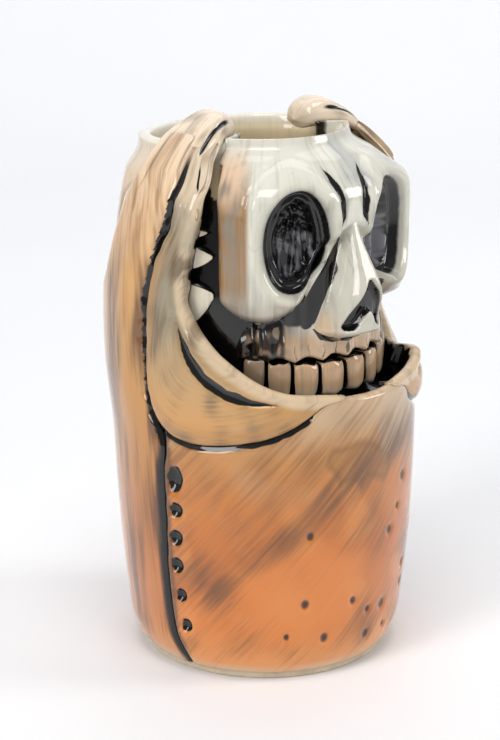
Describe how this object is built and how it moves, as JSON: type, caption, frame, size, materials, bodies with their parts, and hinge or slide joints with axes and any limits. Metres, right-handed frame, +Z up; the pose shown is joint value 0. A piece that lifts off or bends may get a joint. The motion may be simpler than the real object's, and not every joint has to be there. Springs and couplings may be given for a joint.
{
  "type": "tiki mug",
  "caption": "Handleless ceramic drinking mug shaped as a skull looking out of a hooded creature's open mouth, with two curled tips hooked over the rim.",
  "frame": {"origin": "middle of the base, on the surface the mug stands on, under the middle of its box", "axes": "+Z up; the skull looks along -Y; +X is to the right as seen from the front"},
  "size_m": [0.1032, 0.1031, 0.1783],
  "materials": {
    "amber_glaze": "glossy clear glaze over orange-brown brushed underglaze",
    "ochre_glaze": "glossy clear glaze over tan and grey brushed stain, black in the grooves",
    "bone_glaze": "glossy clear glaze over ivory with grey-black brushed stain",
    "liner_glaze": "glossy cream liner glaze",
    "bare_clay": "bare fired clay, wiped foot"
  },
  "bodies": {
    "root": {"back_shell": "amber_glaze", "cup": "liner_glaze", "foot_ring": "bare_clay", "front_apron": "amber_glaze", "left_curl_tip": "ochre_glaze", "left_fang_1": "bone_glaze", "left_fang_2": "bone_glaze", "left_fang_3": "bone_glaze", "left_hood_fold": "ochre_glaze", "left_lip_roll": "ochre_glaze", "left_side_roll": "amber_glaze", "left_tooth_1": "bone_glaze", "left_tooth_2": "bone_glaze", "left_tooth_3": "bone_glaze", "left_tooth_4": "bone_glaze", "nose_bone": "bone_glaze", "right_curl_tip": "ochre_glaze", "right_fang_1": "bone_glaze", "right_fang_2": "bone_glaze", "right_fang_3": "bone_glaze", "right_hood_fold": "ochre_glaze", "right_lip_roll": "ochre_glaze", "right_side_roll": "amber_glaze", "right_tooth_1": "bone_glaze", "right_tooth_2": "bone_glaze", "right_tooth_3": "bone_glaze", "right_tooth_4": "bone_glaze", "skull_mask": "bone_glaze", "upper_jaw": "bone_glaze"}
  },
  "joints": []
}
